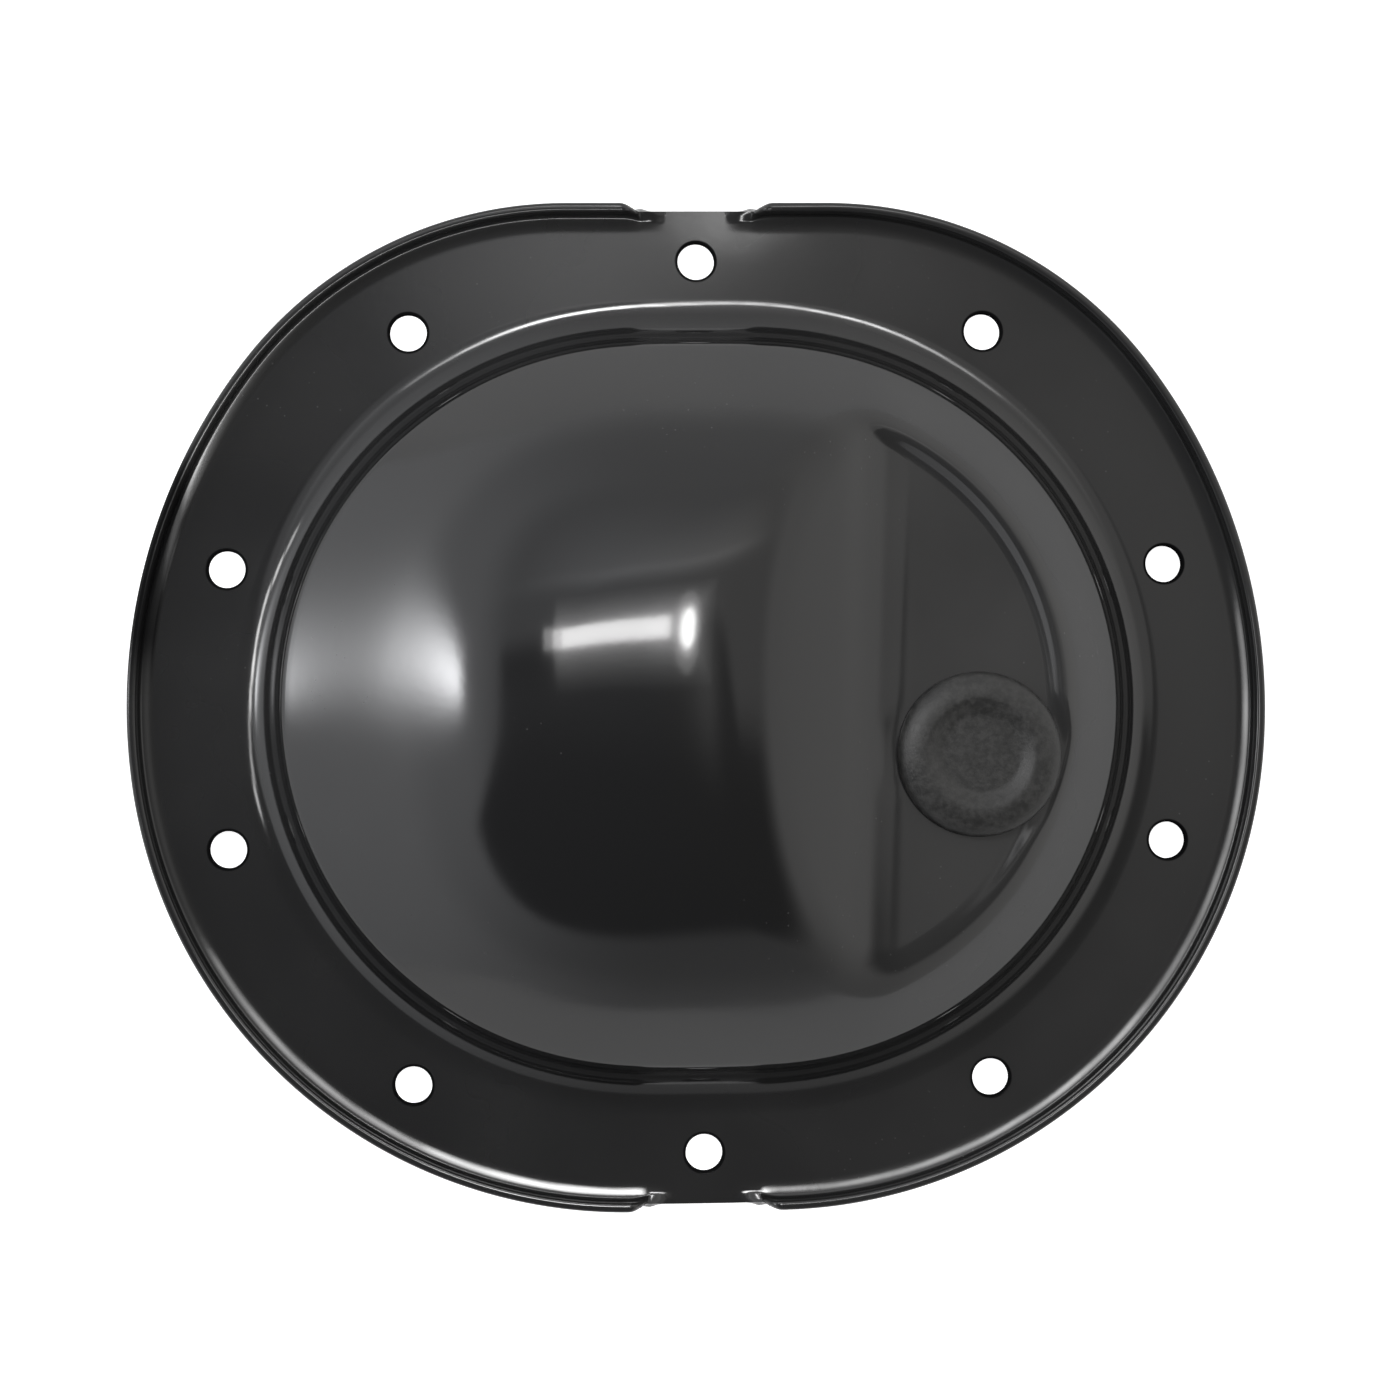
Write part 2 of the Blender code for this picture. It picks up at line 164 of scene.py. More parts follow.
# Radiance of the parts of the studio, where a white wall has 1, and the tint of its two sides
RING_LEVEL = 0.72
CEILING_LEVEL = 0.85
DARK_LEVEL = 0.19
HAZE_LEVEL = 0.10
FAR_GLOW_LEVEL = 0.70
PAD_PATCH_LEVEL = 0.50
LEFT_LAMP_LEVEL = 24.0
COOL_SIDE = (0.985, 0.995, 1.02, 1.0)
WARM_SIDE = (1.01, 1.00, 0.985, 1.0)

# Bar lamp over the crown, with its short leg
BAR_Y = 0.0394
BAR_HEIGHT = 0.170
BAR_X = -0.0550
BAR_LENGTH = 0.0980
BAR_WIDTH = 0.0125
LEG_X = 0.0062
# glow round the bar: how far each layer reaches past it, and the radiance it adds
HALO_STEPS = (
    (0.009, 0.6),
    (0.012, 0.7),
    (0.016, 0.6),
    (0.020, 0.45),
    (0.024, 0.35),
    (0.029, 0.3),
)

# Small lamps shaded to a narrow cone (half angle in degrees), so that each shows in one place only
SHADED_CONE = 9.0
ROOT_LAMP_SIZE = 0.021
ROOT_LAMP_REACH = 0.180
ROOT_LAMP_STEP = 4.5
# bright lines in the root fillet: direction from the centre and turn up the fillet's arc, both in
# degrees, and the radiance of the lamps there
FAR_LINE = (
    (48.0, 10.6, 3.5),
    (67.0, 6.8, 18.0),
    (86.0, 3.9, 9.0),
    (109.0, 8.7, 38.0),
    (130.0, 11.0, 4.0),
)
LEFT_LINE = (
    (157.5, 23.3, 9.0),
    (161.0, 21.8, 15.0),
    (167.0, 19.2, 17.0),
    (175.0, 19.6, 28.0),
    (184.0, 16.5, 7.0),
    (191.5, 13.3, 13.5),
)
LIP_LAMP_SIZE = (0.026, 0.045)
LIP_LAMP_SHIFT = 0.031
LIP_LAMP_HEIGHT = 0.175
LIP_LAMP_DEGREES = range(212, 365, 8)
LIP_BRIGHT_FROM = 240
LIP_BRIGHT_TO = 325
LIP_BRIGHT = 20.0
LIP_FAINT = 6.0
LIP_AIM_INSET = 0.004
LIP_AIM_HEIGHT = 0.004


def ease(t):
    t = min(max(t, 0.0), 1.0)
    return t * t * (3.0 - 2.0 * t)


def smooth_max(a, b, width):
    share = min(max(0.5 + 0.5 * (a - b) / width, 0.0), 1.0)
    return b * (1.0 - share) + a * share + width * share * (1.0 - share)


def smooth_min(a, b, width):
    return -smooth_max(-a, -b, width)


def soft_ramp(t, width):
    return 0.5 * (t + math.hypot(t, width))


def spine_offset(x, y):
    return Vector((x - x / math.hypot(1.0, x / DOME_SHIFT), y))


def pad_height(x, y):
    return PAD_Z - PAD_TILT_X * (x - PAD_X) - PAD_TILT_Y * (y - PAD_Y)


def free_height(x, y):
    reach = spine_offset(x, y).length
    inside = DOME_RADIUS - reach
    bent = smooth_min(reach, CROWN_REACH, CROWN_BLEND)
    steepest = CROWN_REACH / math.sqrt(CROWN_ARC**2 - CROWN_REACH**2)
    crown = CROWN_Z - CROWN_ARC + math.sqrt(CROWN_ARC**2 - bent**2) - steepest * (reach - bent)
    left = LEFT_Z - LEFT_SLOPE * soft_ramp(LEFT_X - x, LEFT_EASE)
    outer = smooth_min(crown, left, LEFT_BLEND)
    flank = FLANK_Z - FLANK_SLOPE * soft_ramp(x - FLANK_X, FLANK_EASE)
    pad = pad_height(x, y)
    foot = FLANK_X + (FLANK_Z - PAD_Z) / FLANK_SLOPE
    to_rim = ease((foot - x) / PAD_RIM_RUN)
    blend = PAD_RIM_BLEND + (FLANK_BLEND - PAD_RIM_BLEND) * to_rim
    crest_form = smooth_min(outer, smooth_max(flank, CREST_Z, PAD_BLEND), blend)
    pad_form = smooth_min(outer, smooth_max(flank, pad, PAD_BLEND), blend)
    from_chord = x - PAD_CHORD_X - PAD_CHORD_TILT * y
    sunk = ease(smooth_min(inside - PAD_RIM, from_chord, PAD_CORNER) / PAD_STEP)
    return crest_form * (1.0 - sunk) + pad_form * sunk


def dome_height(x, y):
    height = free_height(x, y)
    offset = spine_offset(x, y)
    inside = DOME_RADIUS - offset.length
    share = min(max(1.0 - inside / LEVEL_WIDTH, 0.0), 1.0) ** 2
    if share > 0.0:
        edge = offset.normalized() * DOME_RADIUS
        height += (DOME_EDGE_Z - free_height(x - offset.x + edge.x, edge.y)) * share
    from_plug = math.hypot(x - PLUG_X, y - PLUG_Y) - HEAD_RADIUS
    seat = ease(1.0 + (SEAT_MARGIN - from_plug) / SEAT_FADE)
    return height - max(height - pad_height(x, y), 0.0) * seat


def outline_point(angle, inset):
    side = LENGTH / 2
    core_y = TOP_CORNER_Y if math.sin(angle) > 0.0 else LOW_CORNER_Y
    corner = WIDTH / 2 - core_y
    core_x = math.sqrt((side - corner) ** 2 - core_y**2)
    cosine = abs(math.cos(angle))
    sine = abs(math.sin(angle))
    if sine * core_x <= cosine * core_y:
        reach = side - inset
    elif sine * core_x >= cosine * (WIDTH / 2 - inset):
        reach = (WIDTH / 2 - inset) / sine
    else:
        along = core_x * cosine + core_y * sine
        gap = core_x**2 + core_y**2 - (corner - inset) ** 2
        reach = along + math.sqrt(along**2 - gap)
    return Vector((reach * math.cos(angle), reach * math.sin(angle)))


def root_point(angle, inside):
    way = Vector((math.cos(angle), math.sin(angle)))
    reach = DOME_RADIUS - inside
    for _ in range(12):
        at = way * reach
        reach += DOME_RADIUS - inside - spine_offset(at.x, at.y).length
    return way * reach


def lip_presence(x, y):
    if abs(y) < WIDTH / 4:
        return 1.0
    past_end = (abs(x) - GAP_HALF) / LIP_RUNOUT
    if past_end >= 1.0:
        return 1.0
    if past_end >= 0.0:
        return GAP_KICK + (1.0 - GAP_KICK) * (1.0 - (1.0 - past_end) ** 2)
    return GAP_KICK * ease((abs(x) - GAP_HALF + GAP_FLARE) / GAP_FLARE)


def sheet_share(x, y, run):
    near = LIP_RUNOUT / 6
    rise = lip_presence(abs(x) + near, y) - lip_presence(abs(x) - near, y)
    slope = LIP_HEIGHT * rise / (2.0 * near)
    return 1.0 - run * (1.0 - 1.0 / math.hypot(1.0, slope))


def lip_sections():
    turned = math.atan(LIP_DISH_SLOPE)
    foot = SHEET + LIP_BEND * (1.0 - math.sin(turned))
    standing = []
    for i in range(DISH_STEPS):
        out = LIP_DISH * i / DISH_STEPS
        rise = LIP_DISH_SLOPE / 2 * out**2 / LIP_DISH
        standing.append((foot + LIP_DISH - out, SHEET + rise, out))
    rise = LIP_DISH_SLOPE / 2 * LIP_DISH
    for i in range(BEND_STEPS + 1):
        turn = turned + (math.pi / 2 - turned) * i / BEND_STEPS
        inset = SHEET + LIP_BEND * (1.0 - math.sin(turn))
        height = SHEET + rise + LIP_BEND * (math.cos(turned) - math.cos(turn))
        standing.append((inset, height, LIP_DISH + LIP_BEND * (turn - turned)))
    wall = SHEET + LIP_HEIGHT - standing[-1][1]
    top_run = standing[-1][2] + wall
    standing.append((SHEET, SHEET + LIP_HEIGHT - wall / 2, top_run - wall / 2))
    standing.append((SHEET, SHEET + LIP_HEIGHT, top_run))
    developed = standing[-1][2]
    start = standing[0][0]
    rings = []
    for inset, height, run in standing:
        share = run / developed
        rings.append((inset, height, start + (GAP_INSET - start) * share, share))
    return rings


def lip_point(angle, ring):
    inset, height, flat_inset, _ = ring
    edge = outline_point(angle, 0.0)
    present = lip_presence(edge.x, edge.y)
    flat = outline_point(angle, flat_inset + (inset - flat_inset) * present)
    return Vector((flat.x, flat.y, SHEET + (height - SHEET) * present))


def lip_angles():
    full = {round(2.0 * math.pi * i / LIP_STATIONS, 6) for i in range(LIP_STATIONS)}
    for i in range(41):
        x = GAP_HALF - GAP_FLARE + (GAP_FLARE + 1.2 * LIP_RUNOUT) * i / 40
        angle = math.atan2(WIDTH / 2, x)
        for copy in (angle, math.pi - angle, math.pi + angle, 2.0 * math.pi - angle):
            full.add(round(copy, 6))
    sorted_angles = sorted(full)
    kept = [sorted_angles[0]]
    for angle in sorted_angles[1:]:
        if angle - kept[-1] > 0.0012:
            kept.append(angle)
    return kept


def square_to_disc(i, j):
    u = 2.0 * i / SIDE_CELLS - 1.0
    v = 2.0 * j / SIDE_CELLS - 1.0
    return u * math.sqrt(1.0 - v * v / 2.0), v * math.sqrt(1.0 - u * u / 2.0)


def border_cells():
    """Grid corners round the square's border, anticlockwise from the middle of its right side."""
    n = SIDE_CELLS
    cells = [(n, j) for j in range(n // 2, n)]
    cells += [(i, n) for i in range(n, 0, -1)]
    cells += [(0, j) for j in range(n, 0, -1)]
    cells += [(i, 0) for i in range(0, n)]
    cells += [(n, j) for j in range(0, n // 2)]
    return cells


def on_dome(flat):
    return Vector((flat.x, flat.y, dome_height(flat.x, flat.y)))


def join_rings(mesh, outer, inner):
    for i in range(len(outer)):
        j = (i + 1) % len(outer)
        mesh.faces.new((outer[i], outer[j], inner[j], inner[i]))


def zip_rings(mesh, outer, inner):
    turns = 2.0 * math.pi

    def angles(ring):
        found = [math.atan2(vert.co.y, vert.co.x) % turns for vert in ring]
        if found[0] > math.pi:
            found[0] -= turns
        return found + [found[0] + turns]

    outer_angles = angles(outer)
    inner_angles = angles(inner)
    i = 0
    j = 0
    while i < len(outer) or j < len(inner):
        step_outer = j == len(inner) or (
            i < len(outer) and outer_angles[i + 1] <= inner_angles[j + 1]
        )
        here = outer[i % len(outer)]
        there = inner[j % len(inner)]
        if step_outer:
            i += 1
            mesh.faces.new((here, outer[i % len(outer)], there))
        else:
            j += 1
            mesh.faces.new((here, inner[j % len(inner)], there))


def fillet_point(angle, turn):
    """Point of the root fillet, turn up its arc from the flange."""
    lean = DOME_EDGE_ROUND * 0.1
    rise = DOME_EDGE_Z - DOME_EDGE_ROUND - SHEET
    out = ROOT_FILLET + (lean - ROOT_FILLET) * math.sin(turn) / math.sin(FILLET_END)
    height = SHEET + rise * (1.0 - math.cos(turn)) / (1.0 - math.cos(FILLET_END))
    return root_point(angle, -out).to_3d() + Vector((0, 0, height))


def fillet_rings(angles):
    turns = [FILLET_END * i / FILLET_STEPS for i in range(FILLET_STEPS + 1)]
    return [[fillet_point(a, turn) for a in angles] for turn in turns]


def edge_rings(angles, below):
    rings = []
    steps = 6
    for k in range(1, steps + 1):
        share = k / steps
        ring = []
        for a, start in zip(angles, below):
            middle = root_point(a, 0.0).to_3d() + Vector((0, 0, DOME_EDGE_Z))
            end = on_dome(root_point(a, DOME_EDGE_ROUND))
            ring.append(start.lerp(middle, share).lerp(middle.lerp(end, share), share))
        rings.append(ring)
    return rings


def build_skin():
    mesh = bmesh.new()
    weights = mesh.verts.layers.deform.verify()
    cells = border_cells()
    around = []
    for i, j in cells:
        x, y = square_to_disc(i, j)
        around.append(math.atan2(y, x) % (2.0 * math.pi))
    around[0] = 0.0
    edge_around = lip_angles()
    sections = lip_sections()
    rings = []
    for section in sections:
        ring = [mesh.verts.new(lip_point(a, section)) for a in edge_around]
        for vert in ring:
            vert[weights][0] = sheet_share(vert.co.x, vert.co.y, section[3])
        rings.append(ring)
    for inner, outer in zip(rings, rings[1:]):
        join_rings(mesh, outer, inner)
    start = sections[0][0]

    def flat_ring(angles, place, inset):
        return [
            mesh.verts.new(place(a, inset).to_3d() + Vector((0, 0, SHEET))) for a in angles
        ]

    last = rings[0]
    for extra in (0.0003, 0.0012):
        ring = flat_ring(edge_around, outline_point, start + extra)
        join_rings(mesh, last, ring)
        last = ring
    root = flat_ring(around, root_point, -ROOT_FILLET - 0.0012)
    zip_rings(mesh, last, root)
    inner = flat_ring(around, root_point, -ROOT_FILLET - 0.0003)
    join_rings(mesh, root, inner)
    last = inner
    fillet = fillet_rings(around)
    for points in fillet + edge_rings(around, fillet[-1]):
        ring = [mesh.verts.new(point) for point in points]
        join_rings(mesh, last, ring)
        last = ring
    innermost = PAD_RIM + 1.3 * PAD_STEP
    insets = [DOME_EDGE_ROUND + (PAD_RIM - 0.003 - DOME_EDGE_ROUND) * k / 8 for k in range(1, 9)]
    insets += [PAD_RIM - 0.003 + (innermost - PAD_RIM + 0.003) * k / 12 for k in range(1, 13)]
    for inset in insets:
        ring = [mesh.verts.new(on_dome(root_point(a, inset))) for a in around]
        join_rings(mesh, last, ring)
        last = ring
    grid = {cell: vert for cell, vert in zip(cells, last)}
    for i in range(SIDE_CELLS + 1):
        for j in range(SIDE_CELLS + 1):
            if (i, j) in grid:
                continue
            x, y = square_to_disc(i, j)
            radius = math.hypot(x, y)
            edge = root_point(math.atan2(y, x), innermost)
            grid[(i, j)] = mesh.verts.new(on_dome(edge * radius))
    for i in range(SIDE_CELLS):
        for j in range(SIDE_CELLS):
            mesh.faces.new((grid[i, j], grid[i + 1, j], grid[i + 1, j + 1], grid[i, j + 1]))
    for vert in mesh.verts:
        if 0 not in vert[weights]:
            vert[weights][0] = 1.0
    return mesh


def plug_frame():
    normal = Vector((PAD_TILT_X, PAD_TILT_Y, 1.0)).normalized()
    turn = Vector((0.0, 0.0, 1.0)).rotation_difference(normal).to_matrix().to_4x4()
    return Matrix.Translation((PLUG_X, PLUG_Y, pad_height(PLUG_X, PLUG_Y))) @ turn


def new_object(name, mesh):
    data = bpy.data.meshes.new(name)
    mesh.to_mesh(data)
    mesh.free()
    made = bpy.data.objects.new(name, data)
    bpy.context.scene.collection.objects.link(made)
    return made


def apply_modifiers(made):
    graph = bpy.context.evaluated_depsgraph_get()
    data = bpy.data.meshes.new_from_object(made.evaluated_get(graph))
    old = made.data
    made.modifiers.clear()
    made.data = data
    bpy.data.meshes.remove(old)


def punches():
    mesh = bmesh.new()
    profile = [(BOLT_HOLE_RADIUS, -3.0 * SHEET)]
    for k in range(7):
        turn = math.pi / 2 * k / 6
        radius = BOLT_HOLE_RADIUS + HOLE_ROUND * (1.0 - math.cos(turn))
        profile.append((radius, SHEET - HOLE_ROUND * (1.0 - math.sin(turn))))
    profile.append((BOLT_HOLE_RADIUS + HOLE_ROUND, 3.0 * SHEET))
    for x, y in hole_places():
        rings = []
        for radius, height in profile:
            turns = [2.0 * math.pi * (k + 0.5) / HOLE_SIDES for k in range(HOLE_SIDES)]
            spots = [(x + radius * math.cos(t), y + radius * math.sin(t), height) for t in turns]
            rings.append([mesh.verts.new(spot) for spot in spots])
        for lower, upper in zip(rings, rings[1:]):
            for k in range(HOLE_SIDES):
                n = (k + 1) % HOLE_SIDES
                mesh.faces.new((lower[k], lower[n], upper[n], upper[k]))
        mesh.faces.new(list(reversed(rings[0])))
        mesh.faces.new(rings[-1])
    bolts = new_object("bolt_punches", mesh)
    mesh = bmesh.new()
    bmesh.ops.create_cone(
        mesh,
        cap_ends=True,
        segments=2 * HOLE_SIDES,
        radius1=FILLER_RADIUS,
        radius2=FILLER_RADIUS,
        depth=6.0 * SHEET,
    )
    filler = new_object("filler_punch", mesh)
    filler.matrix_world = plug_frame()
    return bolts, filler


def hole_places():
    """Centres of the ten bolt holes."""
    places = []
    for turn, share in (
        (math.pi / 2, BOLT_TOP_SHARE),
        (BOLT_MID_TURN, BOLT_MID_SHARE),
        (BOLT_SIDE_TURN, BOLT_SIDE_SHARE),
    ):
        width = FLANGE_SIDE * math.sin(turn) ** 2 + FLANGE_END * math.cos(turn) ** 2
        place = root_point(turn, -share * width)
        for sign_x in (1, -1) if turn < math.pi / 2 else (1,):
            for sign_y in (1, -1):
                places.append(Vector((sign_x * place.x, sign_y * place.y)))
    return places


def part_hole_rims(cover):
    """Keeps the flange's shading flat up to the rounded rims of the bolt holes."""
    mesh = cover.data
    reach = BOLT_HOLE_RADIUS + HOLE_ROUND
    on_rim = [False] * len(mesh.vertices)
    places = hole_places()
    for vert in mesh.vertices:
        if abs(vert.co.z - SHEET) < 0.00002:
            near = min((vert.co.xy - place).length for place in places)
            on_rim[vert.index] = abs(near - reach) < 0.00005
    for edge in mesh.edges:
        if on_rim[edge.vertices[0]] and on_rim[edge.vertices[1]]:
            edge.use_edge_sharp = True


def mark_lip_edges(cover):
    """Marks the sharp edges of the lip's rim, which the bevel rounds."""
    mesh = bmesh.new()
    mesh.from_mesh(cover.data)
    weights = []
    for edge in mesh.edges:
        weight = 0.0
        if len(edge.link_faces) == 2 and edge.calc_face_angle() > math.radians(50.0):
            middle = (edge.verts[0].co + edge.verts[1].co) / 2
            angle = math.atan2(middle.y, middle.x)
            inset = outline_point(angle, 0.0).length - middle.xy.length
            if inset < 0.0035 and middle.z > 0.5 * LIP_HEIGHT + SHEET:
                weight = 1.0
        weights.append(weight)
    mesh.free()
    marks = cover.data.attributes.new("bevel_weight_edge", "FLOAT", "EDGE")
    marks.data.foreach_set("value", weights)


def make_cover():
    cover = new_object("cover_skin", build_skin())
    cover.vertex_groups.new(name="sheet_share")
    solid = cover.modifiers.new("sheet", "SOLIDIFY")
    solid.vertex_group = "sheet_share"
    solid.thickness = SHEET
    solid.offset = -1.0
    solid.use_even_offset = True
    cutters = punches()
    for cutter in cutters:
        cut = cover.modifiers.new(cutter.name, "BOOLEAN")
        cut.operation = "DIFFERENCE"
        cut.solver = "EXACT"
        cut.object = cutter
    bpy.context.view_layer.update()
    apply_modifiers(cover)
    mark_lip_edges(cover)
    soften = cover.modifiers.new("lip_rim", "BEVEL")
    soften.limit_method = "WEIGHT"
    soften.width = LIP_ROUND
    soften.segments = 5
    soften.use_clamp_overlap = False
    apply_modifiers(cover)
    soften = cover.modifiers.new("edges", "BEVEL")
    soften.limit_method = "ANGLE"
    soften.angle_limit = math.radians(50.0)
    soften.width = PLAIN_ROUND
    soften.segments = 3
    soften.use_clamp_overlap = True
    apply_modifiers(cover)
    for cutter in cutters:
        bpy.data.objects.remove(cutter, do_unlink=True)
    cover.data.shade_smooth()
    cover.data.set_sharp_from_angle(angle=math.radians(35.0))
    part_hole_rims(cover)
    even = cover.modifiers.new("flat_faces", "WEIGHTED_NORMAL")
    even.keep_sharp = True
    even.weight = 100
    apply_modifiers(cover)
    return cover


def keep_inside(made, box):
    """Takes off the few thousandths of a millimetre that stand outside the part's box."""
    low, high = box
    for vert in made.data.vertices:
        for axis in range(3):
            vert.co[axis] = min(max(vert.co[axis], low[axis]), high[axis])


def plug_profile():
    neck = FILLER_RADIUS - FIT_GAP
    snap_top = -SHEET - FIT_GAP
    snap_end = snap_top - SNAP_DEPTH
    floor = HEAD_HEIGHT - DISH_DEPTH
    points = [(0.0, floor)]
    for k in range(1, 7):
        points.append((DISH_RADIUS * k / 6, floor))
    for k in range(1, 13):
        radius = DISH_RADIUS + (HEAD_CREST - DISH_RADIUS) * k / 13
        points.append((radius, floor + DISH_DEPTH * ease(k / 13)))
    for i in range(19):
        turn = math.pi / 2 * i / 18
        radius = HEAD_CREST + (HEAD_RADIUS - HEAD_CREST) * math.sin(turn)
        points.append((radius, HEAD_EDGE + (HEAD_HEIGHT - HEAD_EDGE) * math.cos(turn)))
    points.append((HEAD_RADIUS - 0.0001, FIT_GAP + 0.0003))
    points.append((HEAD_RADIUS - 0.0004, FIT_GAP))
    points.append((neck, FIT_GAP))
    points.append((neck, snap_top))
    points.append((SNAP_RADIUS - 0.0002, snap_top))
    points.append((SNAP_RADIUS, snap_top - 0.0003))
    points.append((SNAP_RADIUS, snap_top - 0.0012))
    points.append((SNAP_TIP, snap_end))
    points.append((PLUG_HOLLOW, snap_end))
    points.append((PLUG_HOLLOW - 0.0006, -PLUG_ROOF + 0.0010))
    points.append((PLUG_HOLLOW - 0.0020, -PLUG_ROOF + 0.0020))
    points.append((0.0, -PLUG_ROOF + 0.0020))
    return points


def make_plug():
    mesh = bmesh.new()
    verts = [mesh.verts.new((radius, 0.0, height)) for radius, height in plug_profile()]
    for first, second in zip(verts, verts[1:]):
        mesh.edges.new((first, second))
    plug = new_object("rubber_plug", mesh)
    screw = plug.modifiers.new("turn", "SCREW")
    screw.axis = "Z"
    screw.steps = PLUG_SIDES
    screw.render_steps = PLUG_SIDES
    screw.use_merge_vertices = True
    screw.merge_threshold = 0.00001
    bpy.context.view_layer.update()
    apply_modifiers(plug)
    plug.data.transform(plug_frame())
    plug.data.shade_smooth()
    plug.data.set_sharp_from_angle(angle=math.radians(40.0))
    return plug


class Nodes:
    """Short calls for the nodes of one material or world."""

    def __init__(self, tree):
        self.tree = tree

    def add(self, kind, **settings):
        node = self.tree.nodes.new(kind)
        for name, value in settings.items():
            setattr(node, name, value)
        return node

    def put(self, socket, value):
        if isinstance(value, bpy.types.NodeSocket):
            self.tree.links.new(value, socket)
        elif value is not None:
            socket.default_value = value

    def math(self, operation, a, b=None, c=None, clamp=False):
        node = self.add("ShaderNodeMath", operation=operation, use_clamp=clamp)
        for socket, value in zip(node.inputs, (a, b, c)):
            self.put(socket, value)
        return node.outputs[0]

    def ramp(self, value, low, high, start=0.0, end=1.0):
        node = self.add("ShaderNodeMapRange", interpolation_type="SMOOTHSTEP")
        for name, given in (
            ("Value", value),
            ("From Min", low),
            ("From Max", high),
            ("To Min", start),
            ("To Max", end),
        ):
            self.put(node.inputs[name], given)
        return node.outputs[0]

    def bell(self, value, centre, width):
        """1 at the centre, falling to 1/e at one width from it."""
        away = self.math("DIVIDE", self.math("SUBTRACT", value, centre), width)
        return self.math("EXPONENT", self.math("MULTIPLY", self.math("MULTIPLY", away, away), -1.0))

    def mix(self, share, a, b):
        """a where share is 0 and b where it is 1, for numbers."""
        node = self.add("ShaderNodeMix", data_type="FLOAT")
        self.put(node.inputs[0], share)
        self.put(node.inputs[2], a)
        self.put(node.inputs[3], b)
        return node.outputs[0]

    def colour(self, share, a, b):
        node = self.add("ShaderNodeMix", data_type="RGBA")
        self.put(node.inputs[0], share)
        self.put(node.inputs[6], a)
        self.put(node.inputs[7], b)
        return node.outputs[2]


def new_material(name):
    material = bpy.data.materials.new(name)
    material.use_nodes = True
    nodes = Nodes(material.node_tree)
    shader = material.node_tree.nodes["Principled BSDF"]
    return material, nodes, shader


def dust_and_painted_sheen(nodes, x, z, cloud):
    """How thick the pale dust and painted sheen lie: only below the crown, more towards the right, and
    most on the pad, where the pale colour stands in for light that the pad reflects.
    """
    dust_and_sheen = nodes.math("MULTIPLY_ADD", nodes.ramp(x, 0.02, 0.10), 0.003, 0.008)
    pad = nodes.math("MULTIPLY", nodes.ramp(x, 0.040, 0.052), nodes.ramp(z, 0.016, 0.024))
    dust_and_sheen = nodes.math("MULTIPLY_ADD", pad, 0.006, dust_and_sheen)
    dust_and_sheen = nodes.math("MULTIPLY", dust_and_sheen, nodes.ramp(z, 0.034, 0.041, 1.0, 0.0))
    return nodes.math("MULTIPLY", dust_and_sheen, nodes.ramp(cloud, 0.25, 0.75, 0.75, 1.25))


def painted_shade_share(nodes, x, y, z):
    """Painted shade: where the paint is given no gloss and no dust, so that it looks dark: the rims of
    the bolt holes and the lip's far left part.
    """
    folded = nodes.add("ShaderNodeCombineXYZ")
    nodes.put(folded.inputs[0], nodes.math("ABSOLUTE", x))
    nodes.put(folded.inputs[1], nodes.math("ABSOLUTE", y))
    nearest = 1.0
    for hole in hole_places():
        if hole.x > -0.001 and hole.y > 0.0:
            away = nodes.add("ShaderNodeVectorMath", operation="DISTANCE")
            nodes.put(away.inputs[0], folded.outputs[0])
            nodes.put(away.inputs[1], hole.to_3d())
            nearest = nodes.math("MINIMUM", away.outputs["Value"], nearest)
    # painted shade round the rounded rim of each bolt hole
    rims = nodes.ramp(nearest, BOLT_HOLE_RADIUS + 0.0005, BOLT_HOLE_RADIUS + 0.0009, 1.0, 0.0)
    # painted shade on the lip's far left part
    left = nodes.math("MULTIPLY", nodes.ramp(x, -0.132, -0.126, 1.0, 0.0), nodes.ramp(y, 0.0, 0.02))
    left = nodes.math("MULTIPLY", left, nodes.ramp(z, SHEET, SHEET + 0.00012))
    return nodes.math("MAXIMUM", rims, nodes.math("MULTIPLY", left, 0.9))


